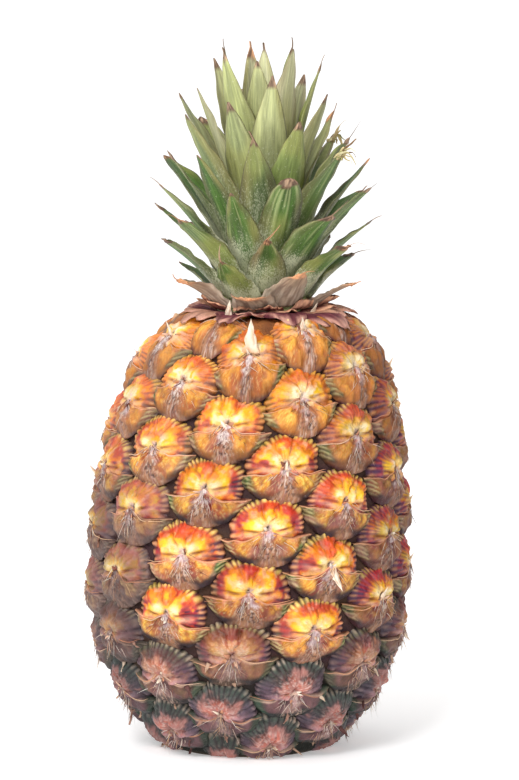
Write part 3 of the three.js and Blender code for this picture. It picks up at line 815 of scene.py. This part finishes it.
def makeFibres():
    # short fibres fan out and down from the dried flower, a few longer hairs stand off the rind
    perEye = dried["fibresPerEye"] + dried["hairsPerEye"]
    which = np.repeat(np.arange(eyeCount), perEye)
    long = np.tile(np.arange(perEye) >= dried["fibresPerEye"], eyeCount)
    count = len(which)
    u = picks.normal(0, 1.3, count)
    v = -picks.uniform(0.0, 6.5, count) * np.where(long, 0.8, 1.0)
    start = eyeSpot(which, u * (1 + 0.25 * np.maximum(-v, 0)), v + 0.6, bractHump(u, v) + 0.4)
    sideways, outward = sidewaysAt(which), outwardAt(which)
    aside = 0.55 * u + picks.normal(0, 0.35, count)
    fall = picks.uniform(0.3, 1.3, count)
    standOff = np.where(long, picks.uniform(0.2, 1.0, count), picks.uniform(0.05, 0.35, count))
    way = sideways * aside[:, None] - upward * fall[:, None] + outward * standOff[:, None]
    way = unit(np.where(long[:, None] & (picks.uniform(size=count) < 0.5)[:, None], way * [1, 1, -1], way))
    length = np.where(long, picks.uniform(3, 6.5, count), picks.uniform(1.8, 4.8, count))
    radius = np.where(long, dried["hairRadius"], dried["fibreRadius"]) * picks.uniform(0.7, 1.3, count)
    curl = -upward * (length * picks.uniform(0, 0.5, count))[:, None]
    curl = curl + sideways * picks.normal(0, 1, count)[:, None]
    ring = tubes(start, way, length, radius, curl)
    return ring, threadTones(ring.shape[:3], dried["fibreColours"], 4)


def makeFlakes():
    # little torn flakes round the dried flower: pointed sheets that stand off and bend over;
    # their width is (1 - t) to the 0.7 of the foot's, and they rise as t less a third of t squared
    which = np.repeat(np.arange(eyeCount), dried["flakesPerEye"])
    count = len(which)
    turn = picks.uniform(0, 2 * np.pi, count)
    start = eyeSpot(which, 0.9 * np.sin(turn), 0.9 * np.cos(turn) - 0.6, 0.0 * turn - 0.1)
    sideways = sidewaysAt(which)
    away = sideways * np.sin(turn)[:, None] + upward * np.cos(turn)[:, None]
    across = sideways * np.cos(turn)[:, None] - upward * np.sin(turn)[:, None]
    length, width = picks.uniform(1.4, 3.6, count), picks.uniform(0.5, 1.2, count)
    lean, size = each(picks.uniform(0.4, 1.1, count)), each(length)
    t = np.linspace(0, 1, 6)[None, :, None, None]
    s = np.linspace(-1, 1, 4)[None, None, :, None]
    points = (column(start) + column(outwardAt(which)) * size * (lean * t - 0.35 * t ** 2)
              + column(away) * size * (t * (1.1 - 0.4 * lean)) ** 1.2
              + column(across) * each(width) * s * (1 - t) ** 0.7)
    return points, threadTones(points.shape[:3], dried["flakeColours"], 5)


def makeTails():
    # papery ends of old bracts that have torn loose on the low rows and on the dull side;
    # each narrows as 1 - t to the 1.6, bends sideways and off the rind as t squared, and is wavy
    loose = np.nonzero((eyeDusk > 0.5) | ((eyeDullAndShade > 0.35) & (chance(eyeNumber, 60) > 0.2)))[0]
    which = np.repeat(loose, 2)
    count = len(which)
    side = np.where(chance(which, 61) > 0, 1.0, -1.0) * np.tile([1.0, 0.0], len(loose))
    u = side * picks.uniform(6, 13, count) * eyeWide[which]
    v = np.where(side == 0, -11.0, -3.0) * picks.uniform(0.8, 1.1, count) * eyeTall[which]
    start = eyeSpot(which, u, v, bractHump(u, v) - 0.2)
    outward = outwardAt(which)
    way = unit(sidewaysAt(which) * (side + picks.normal(0, 0.3, count))[:, None]
               - upward * picks.uniform(0.5, 1.6, count)[:, None]
               + outward * picks.uniform(0.0, 0.2, count)[:, None])
    across = unit(np.cross(way, outward))
    t = np.linspace(0, 1, 12)[None, :, None, None]
    s = np.linspace(-1, 1, 6)[None, None, :, None]
    long = each(picks.uniform(2.5, 6.0, count) * np.where(side == 0, 0.7, 1))
    wide, bend = each(picks.uniform(0.4, 1.2, count)), each(picks.normal(0, 0.25, count))
    points = (column(start) + column(way) * long * t
              + column(across) * (wide * s * (1 - t ** 1.6) + bend * long * t ** 2)
              + column(outward) * (0.35 * np.sin(s * 3 + t * 7) + 0.1 * long * t ** 2))
    return points, threadTones(points.shape[:3], dried["tailColours"], 6)


def makeSpikes():
    # dried flowers left standing: a flattened cone with a wavy outline, cream and papery
    chosen = [(i, dried["spikes"][int(k)]) for i, k in enumerate(eyeNumber) if int(k) in dried["spikes"]]
    which = np.array([i for i, plan in chosen])
    length, width, lean = np.array([plan for i, plan in chosen], dtype=float).T
    lean = np.radians(lean)[:, None]
    start = eyeSpot(which, 0 * length, 0.25 * (length - 9), 0 * length - 0.3)
    way = unit(sidewaysAt(which) * np.cos(lean) + upward * np.sin(lean) + 0.45 * outwardAt(which))
    across = unit(np.cross(way, outwardAt(which)))
    off = column(np.cross(across, way))
    t = np.linspace(0, 1, 18)[None, :, None, None]
    turn = np.linspace(0, 2 * np.pi, 14, endpoint=False)[None, None, :, None]
    size, half = each(length), each(width)
    taper = (1 - t ** 1.15) * (1 + 0.16 * np.sin(turn * 3 + t * 9) + 0.14 * np.sin(t * 17 + turn * 2 + size))
    points = (column(start) + column(way) * size * t + off * 0.08 * size * t ** 2
              + column(across) * half * taper * np.cos(turn) + off * 0.42 * half * taper * np.sin(turn))
    patch = softNoise(turn * 3 + size, t * 2, 85)[..., 0]
    tone = paint(
        np.full(points.shape, linear("f3e4cf")),
        ("c99a72", 0.8 * smooth((patch - 0.5) / 0.3)),
        ("e9b27c", 0.7 * smooth((0.25 - t[..., 0]) / 0.25)))
    return points, tone


for name, maker, closed in (("bractMargins", makeMarginThreads, True), ("eyeFibres", makeFibres, True),
                            ("flowerFlakes", makeFlakes, False), ("paperyTails", makeTails, False),
                            ("flowerSpikes", makeSpikes, True)):
    points, tones = maker()
    if closed:
        # each ring of a thread is lifted as a whole where it would go below the floor
        points[..., 2] += np.maximum(dried["lowest"] - points[..., 2].min(axis=2, keepdims=True), 0)
        points, tones = drawEnds(points), drawEnds(tones)
    else:
        points, tones = thicken(points, tones, dried["sheetThickness"])
    piece = gridMesh(name, points, tones, closeAcross=True)
    finishPiece(piece, threadMaterial, ["fruit"])
print("dried parts made")

# papery collar where the crown stands on the fruit
collar = dict(
    thickness=0.5, outSteps=18, acrossSteps=20,
    low=dict(count=17, reach=30.4, inner=15.0, height=1.2, rise=0.7, overlap=2.4, taper=0.35, seed=91,
             colours=("4a1c26", "8a4650", "d09c8a")),
    high=dict(count=15, reach=24.0, inner=15.5, height=1.9, rise=2.6, overlap=1.5, taper=0.55, seed=101,
              colours=("6a3434", "a8705c", "e8b08c")))
shoulder = (evenAlong > 0) & (evenZ > fruit["widestHeight"])
crownX = float(bendAt(fruit["height"]))


def makeCollar(count, reach, inner, height, rise, overlap, taper, seed, colours):
    # flaps side by side in a ring, each lying outwards on the rind, t from foot to free edge and
    # s across; the edge is ragged, wrinkled and curled, and rises as t to the 1.4
    k = np.arange(count)[:, None, None]
    t = np.linspace(0, 1, collar["outSteps"])[None, :, None]
    s = np.linspace(-1, 1, collar["acrossSteps"])[None, None, :]
    long = reach * (1 + 0.12 * chance(k, seed))
    ragged = 0.22 * (softNoise(s * 5 + k * 3, k + 0 * s, seed + 8) - 0.5)
    point = 1 - taper * np.abs(s) ** (1.6 + 0.5 * chance(k, seed + 1)) + ragged
    r = inner + (long - inner) * t * point
    half = np.pi / count * overlap * (1 + 0.2 * chance(k, seed + 2))
    azimuth = 2 * np.pi * k / count + 0.25 * chance(k, seed + 3) + s * half * (1 - 0.35 * t ** 2)
    rind = np.interp(-r, -evenR[shoulder], evenZ[shoulder])  # the fruit's own height under each place
    z = rind + height + 0.35 * chance(k, seed + 10) + rise * t ** 1.4 * (1 + 0.6 * chance(k, seed + 5))
    z = z - 1.2 * s ** 2 * t + 1.5 * (softNoise(s * 4 + k * 7, t * 3 + k, seed + 4) - 0.5) * t
    z = z + 1.3 * smooth((t - 0.75) / 0.25) * chance(k, seed + 6)
    points = np.stack([r * np.cos(azimuth) + crownX, r * np.sin(azimuth), z], axis=-1)
    fine = softNoise(s * 16 + k * 3, t * 3 + k, seed + 7)
    foot, blade, edge = colours
    tone = paint(
        np.full(points.shape, linear(foot)),
        (blade, fine),
        ("c8967c", 0.85 * (chance(k, seed + 9) > 0.35) * smooth((t - 0.2) / 0.3) * (0.5 + fine)),
        (edge, smooth((t - 0.7) / 0.25) * smooth((fine - 0.3) / 0.3)),
        ("3a1f22", 0.7 * smooth((0.35 - t) / 0.3)))
    return points, tone


for name, ring in (("collarLow", collar["low"]), ("collarHigh", collar["high"])):
    points, tones = thicken(*makeCollar(**ring), collar["thickness"])
    piece = gridMesh(name, points, tones, closeAcross=True)
    finishPiece(piece, dryMaterial, ["fruit"])
print("collar made")

# leaves of the crown, from the same plan as their solids
crown = dict(
    stemRadius=16.5, stemTipRadius=2.6, clearance=0.35, leafCount=57, dryCount=6, leafPitch=0.56,
    leafTurn=137.5, frontLeaf=14, frontAzimuth=-87.0, leafWidth=13.4, tipPower=2.1,
    thickness=1.3, innerThickness=0.9, lowestCurl=30.0, highestCurl=4.0, firstFoot=1.0,
    # along the crown from its lowest leaf to its highest: tip heights and mean slopes
    stops=(0, 0.12, 0.38, 0.65, 0.88, 1), tipHeights=(8, 19, 43, 68, 89, 93),
    leanStops=(0, 0.12, 0.4, 0.65, 0.88, 1), meanLeans=(64, 49, 42, 27, 13, 4),
    alongSteps=44, acrossSteps=22, frayedLeaves=(32, 34), frayRow=32, raysPerLeaf=12,
    frayColours=("e6dcae", "d8c692", "c0a878", "8a6a4a", "a8a468"),
)
stemHeight = crown["firstFoot"] + crown["leafPitch"] * (crown["leafCount"] + 3)


def leafPlan(n):
    # sizes and place of leaf n; share is 0 for the lowest leaf and 1 for the highest
    share = (n - 1) / (crown["leafCount"] - 1)
    thickness = mix(crown["thickness"], crown["innerThickness"], share)
    footHeight = crown["firstFoot"] + crown["leafPitch"] * (n - 1)
    meanLean = np.interp(share, crown["leanStops"], crown["meanLeans"])
    tipHeight = np.interp(share, crown["stops"], crown["tipHeights"]) * (1 + 0.05 * chance(n, 3))
    curl = mix(crown["lowestCurl"], crown["highestCurl"], share ** 0.6)
    length = (tipHeight - footHeight) / math.cos(math.radians(meanLean))
    stemRadius = mix(crown["stemRadius"], crown["stemTipRadius"], footHeight / stemHeight)
    return dict(
        n=n, share=share, dry=n <= crown["dryCount"], thickness=thickness, length=length,
        width=crown["leafWidth"] * (1 + 0.07 * chance(n, 4)) * (1.12 + 0.5 * smooth((share - 0.45) / 0.35)),
        blunt=float(smooth((chance(n, 6) - 0.1) / 0.3)) if share < 0.7 else 0.0,
        tail=max(0.0, chance(n, 7)) * (8 if share < 0.8 else 4),
        trim=0.95 + 0.05 * chance(n, 8) if share > 0.45 else 1.0, paleness=0.5 + 0.5 * chance(n, 9),
        footRadius=stemRadius + crown["clearance"] + thickness / 2, footHeight=footHeight,
        footLean=meanLean - 0.45 * curl, tipLean=meanLean + 0.55 * curl, sway=3 * chance(n, 5),
        azimuth=math.radians(crown["frontAzimuth"] - crown["leafTurn"] * (n - crown["frontLeaf"])),
    )


def makeLeaf(plan):
    # t runs from foot to tip and s across. The midline bends evenly from the foot's lean to the
    # tip's, and the blade is an arc of the channel's radius across it, with a face on both sides
    n, share, length = plan["n"], plan["share"], plan["length"] * plan["trim"]
    # the blade, then on some leaves a dried thread that curls on from the tip
    tail, tailSteps = plan["tail"], 9
    blade = np.linspace(0, 1, crown["alongSteps"] - tailSteps) ** 0.9
    t = np.concatenate([blade, 1 + tail / length * np.linspace(0, 1, tailSteps + 1)[1:]])
    fine = np.linspace(0, 1 + tail / length, 500)
    curlOver = 150 * chance(n, 10) * np.clip(fine - 1, 0, None) * length / 12
    lean = np.radians(mix(plan["footLean"], plan["tipLean"], np.minimum(fine, 1)) + curlOver)
    step = length * fine[1]
    radius = plan["footRadius"] + step * np.concatenate([[0], np.cumsum(np.sin(lean[:-1]))])
    height = step * np.concatenate([[0], np.cumsum(np.cos(lean[:-1]))])
    radius, height, lean = (np.interp(t, fine, x)[:, None] for x in (radius, height, lean))
    beyond, t = np.clip(t - 1, 0, 1)[:, None], np.minimum(t, 1)[:, None]
    s = np.linspace(-1, 1, crown["acrossSteps"])[None, :]
    # half width: full for most of the length, blunt leaves stay wide until just before the end
    power = mix(crown["tipPower"] - 0.3, 4.6, plan["blunt"])
    half = plan["width"] / 2 * np.clip(1 - t ** power, 0, 1) ** mix(0.95, 0.8, plan["blunt"])
    half = half + 0.4 - 0.3 * smooth(beyond * length / 7)
    # the foot clasps the stem, further out the leaf is an open channel
    channel = mix(np.maximum(radius, 4.0), 11.5 + 2 * chance(n, 16), smooth(t * 2.6))
    angle = np.clip(s * half / channel, -1.25, 1.25)
    wave = 0.5 * np.sin(t * 11 + n * 2) * np.abs(s) ** 3 * smooth(t * 3)
    wave = wave + 0.25 * np.sin(t * 31 + n) * s ** 4
    across = channel * np.sin(angle)
    inward = channel * (1 - np.cos(angle)) + wave * np.minimum(half / 4, 1)
    ridge = 0.09 * np.cos(s * 34 + n) * (1 - np.abs(s) ** 4) * np.minimum(half / 4, 1)
    # dried tips shrivel: they crumple and roll
    driedLength = 3.2 + 1.6 * chance(n, 73) + 1.5 * (softNoise(s * 2 + n, n + 0 * s, 76) - 0.5)
    withered = smooth((driedLength - length * (1 - t)) / 1.6)
    crumple = withered * (softNoise(s * 2.5 + n, t * 30 + n, 74) - 0.5) * 1.8 * np.minimum(half / 3, 1)
    body = plan["thickness"] / 2 * (1 - 0.5 * t) * np.sqrt(np.clip(1 - s ** 2, 0, 1))
    body = body * np.minimum(half / 2, 1)
    sway = np.radians(plan["sway"]) * t ** 2 + 0.5 * chance(n, 17) * beyond

    def surface(side):
        off = inward + crumple + side * (body + ridge)
        r = radius - np.cos(lean) * off
        z = height + np.sin(lean) * off
        a = plan["azimuth"] + sway
        x = r * np.cos(a) - across * np.sin(a)
        y = r * np.sin(a) + across * np.cos(a)
        z = z + plan["footHeight"] + fruit["height"]
        return np.stack([x + crownX, y, z], axis=-1)

    # inner and outer faces joined into one skin round the leaf, drawn together at both ends
    inner, outer = surface(1), surface(-1)
    points = np.concatenate([inner, outer[:, ::-1]], axis=1)
    ends = points[[0, -1]].mean(axis=1, keepdims=True) + 0 * points[[0, -1]]
    points = np.concatenate([ends[:1], points, ends[1:]])[None]

    # colours: green, paler and yellower up the crown; stripes; meal; brown margins; dry tips
    young = smooth((share - 0.5) / 0.4)
    leafGreen = mix(linear("4f7230"), mix(linear("acb862"), linear("dedbb0"), plan["paleness"]), young)
    stripe = softNoise(s * 24 + n * 5, t * 2.5 + n, 71)
    blotch = softNoise(s * 1.6 + n * 2, t * 3.5 + n, 75)
    yellowed = softNoise(s * 1.2 + n, t * 2.2 + n * 3, 80)
    meal = 0.5 * softNoise(s * 9 + n, t * length * 0.5, 72)
    meal = meal + 0.5 * softNoise(s * 17 + n, t * length * 1.4, 77)
    cover = smooth((0.62 - t + 0.3 * (blotch - 0.5)) / 0.5) * (1 - 0.5 * young)
    bare = plan["paleness"] * smooth((np.abs(s) - 0.3) / 0.5) * smooth(t / 0.4)
    margin = smooth((np.abs(s) - 0.88) / 0.1) * smooth(t / 0.25)
    tawny = 0.25 + 0.75 * (chance(n, 79) > 0.45)  # most tips dry grey brown, some orange
    tipGrain = smooth((softNoise(s * 5 + n, t * 30, 78) - 0.3) / 0.5)[..., None]
    tipTone = mix(linear("5c4034"), mix(linear("a8907a"), linear("e0a478"), tawny), tipGrain)
    tone = paint(
        np.full(stripe.shape + (3,), leafGreen),
        (leafGreen * 0.5, 0.75 * smooth((blotch - 0.45) / 0.3)),
        (leafGreen * 0.45, 0.45 * smooth((stripe - 0.52) / 0.18)),
        ("c6cc92", 0.4 * smooth((0.36 - stripe) / 0.2)),
        ("a3a058", 0.45 * smooth((yellowed - 0.5) / 0.25)),
        ("b9bdaa", 0.35 * cover * meal),
        ("8a7058", 0.5 * bare * (1 - young * 0.5) * (0.4 + blotch)),
        ("6a5a3a", 0.5 * margin),
        ("4c2c24", 0.9 * smooth(10 * withered * (1 - withered) - 0.6)),
        (tipTone, 0.95 * withered))
    if plan["dry"]:
        tone = paint(
            tone,
            ("b09680", 0.92),
            ("dcd0be", 0.7 * smooth((0.7 - t) / 0.4) * meal),
            ("5c4038", 0.5 * smooth((stripe - 0.5) / 0.2)),
            ("e8a474", 0.95 * smooth((t - 0.72) / 0.16) * (0.5 + 0.5 * blotch)))
    amount = np.clip(0.14 + 0.62 * cover * (0.45 + 0.8 * meal), 0, 0.72) * (1 - withered)
    tones = np.concatenate([tone, amount[..., None]], axis=-1)
    lay = np.stack(np.broadcast_arrays(s * half, (t + beyond) * length, n * 9.0), axis=-1)
    both = (np.concatenate([x, x[:, ::-1]], axis=1) for x in (tones, lay))
    return points, *(np.concatenate([x[:1], x, x[-1:]])[None] for x in both)


for n in range(1, crown["leafCount"] + 1):
    plan = leafPlan(n)
    points, tones, lay = makeLeaf(plan)
    piece = gridMesh("crownLeaf_%02d" % n, points, tones, closeAcross=True, lay=lay)
    finishPiece(piece, dryLeafMaterial if plan["dry"] else leafMaterial,
                ["leaf_%02d" % n])


def makeFrays():
    # narrow dried ribbons that hang in a tangle from the torn ends of a few leaves: each runs on
    # from its leaf, strays sideways as t to the 1.5, droops as t to the 2.2, and is wavy
    t = np.linspace(0, 1, 14)[:, None]
    spines, seeds = [], []
    for n in crown["frayedLeaves"]:
        edge = makeLeaf(leafPlan(n))[0][0].mean(axis=1)
        place = edge[crown["frayRow"]]
        way = unit(place - edge[crown["frayRow"] - 8])
        side = np.cross(way, upward)
        for k in range(crown["raysPerLeaf"]):
            reach = 9 + 5 * chance(n + k, 91)
            line = place + side * 1.6 * chance(k + n, 92) + way * reach * t
            line = line + side * reach * 0.5 * chance(k + n, 93) * t ** 1.5
            line = line - upward * reach * (0.55 + 0.45 * chance(k + n, 94)) * t ** 2.2
            line = line + side * 0.7 * np.sin(t * 9 + 3 * k) * t + way * 0.6 * np.cos(t * 8 + 2 * k) * t
            spines.append(line)
            seeds.append(n + k)
    line = np.array(spines)
    along = unit(np.gradient(line, axis=1))
    flat = unit(np.cross(along, [0.3, 0.4, 0.85]))
    wide = (1.05 + 0.5 * chance(each(np.array(seeds)), 95)) * (1 - 0.7 * t[..., None])
    points = ringsRound(line, flat, np.cross(along, flat), wide, 0.22 * wide, 6)
    return points, threadTones(points.shape[:3], crown["frayColours"], 8)


points, tones = makeFrays()
piece = gridMesh("frayedTips", drawEnds(points), drawEnds(tones), closeAcross=True)
finishPiece(piece, threadMaterial, ["leaf_%02d" % n for n in crown["frayedLeaves"]])
print("leaves made")

# cut stalk and crown stem keep their own shapes

for node, material in (("cut_stalk", woodMaterial), ("crown_stem", stemMaterial)):
    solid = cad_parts[node]
    if not solid.material_slots:
        solid.data.materials.append(material)
    for slot in solid.material_slots:
        slot.material = material

# floor, light and camera, in metres and degrees
studio = dict(distance=1.4, elevation=6.0, lookX=0.0039, lookZ=0.1226, viewAngle=10.9,
              floorSize=40.0, floorGlow=0.3, roomGlow=0.9, roomAsSeen=1.2,
              cardSize=0.6, cardPlace=(0.42, -0.16, 0.36), cardTurn=0.5,
              lights=dict(keyLight=((-0.35, -1.1, 1.0), 0.4, 12), fillLight=((0.9, -0.8, 0.5), 0.8, 2)))


def stagePlane(name, size, place, turn, grey, roughness, glow):
    # a flat square of one matt grey that isn't part of the object
    bpy.ops.mesh.primitive_plane_add(size=size, location=place, rotation=turn)
    plane = bpy.context.object
    plane.name = name
    material = bpy.data.materials.new(name)
    material.use_nodes = True
    shader = material.node_tree.nodes["Principled BSDF"].inputs
    shader["Base Color"].default_value = (grey, grey, grey, 1)
    shader["Roughness"].default_value = roughness
    shader["Emission Color"].default_value = (1, 1, 1, 1)
    shader["Emission Strength"].default_value = glow
    plane.data.materials.append(material)
    return plane


stagePlane("floor", studio["floorSize"], (0, 2, 0), (0, 0, 0), 0.93, 0.9, studio["floorGlow"])
# a dark card stands out of sight at the right, so that side falls off
cardLean = (0, math.pi / 2, studio["cardTurn"])
card = stagePlane("darkCard", studio["cardSize"], studio["cardPlace"], cardLean, 0.02, 1.0, 0)
card.visible_camera = False

# the room is seen a little brighter than it shines
world = bpy.data.worlds.new("softRoom")
bpy.context.scene.world = world
world.use_nodes = True
seen = addNode(world.node_tree, "LightPath").outputs["Is Camera Ray"]
glows = {"To Min": studio["roomGlow"], "To Max": studio["roomAsSeen"]}
roomStrength = result(world.node_tree, "MapRange", glows, {"Value": seen})
room = world.node_tree.nodes["Background"].inputs
world.node_tree.links.new(roomStrength, room["Strength"])
room["Color"].default_value = (1, 1, 1, 1)

# each light is aimed at the middle of the object
for name, (place, size, power) in studio["lights"].items():
    data = bpy.data.lights.new(name, "AREA")
    data.energy, data.size = power, size
    lamp = bpy.data.objects.new(name, data)
    bpy.context.scene.collection.objects.link(lamp)
    lamp.location = place
    away = np.array([0, 0, 0.12]) - np.array(place)
    lamp.rotation_euler = (math.atan2(math.hypot(away[0], away[1]), -away[2]), 0,
                           math.atan2(away[1], away[0]) - math.pi / 2)

cameraData = bpy.data.cameras.new("camera")
cameraData.sensor_fit = "VERTICAL"
cameraData.sensor_height = 24
cameraData.lens = cameraData.sensor_height / 2 / math.tan(math.radians(studio["viewAngle"]) / 2)
camera = bpy.data.objects.new("camera", cameraData)
bpy.context.scene.collection.objects.link(camera)
tilt = math.radians(studio["elevation"])
camera.location = (studio["lookX"], -studio["distance"] * math.cos(tilt),
                   studio["lookZ"] + studio["distance"] * math.sin(tilt))
camera.rotation_euler = (math.pi / 2 - tilt, 0, 0)
bpy.context.scene.camera = camera
bpy.context.scene.view_settings.view_transform = "Standard"
print("studio ready")
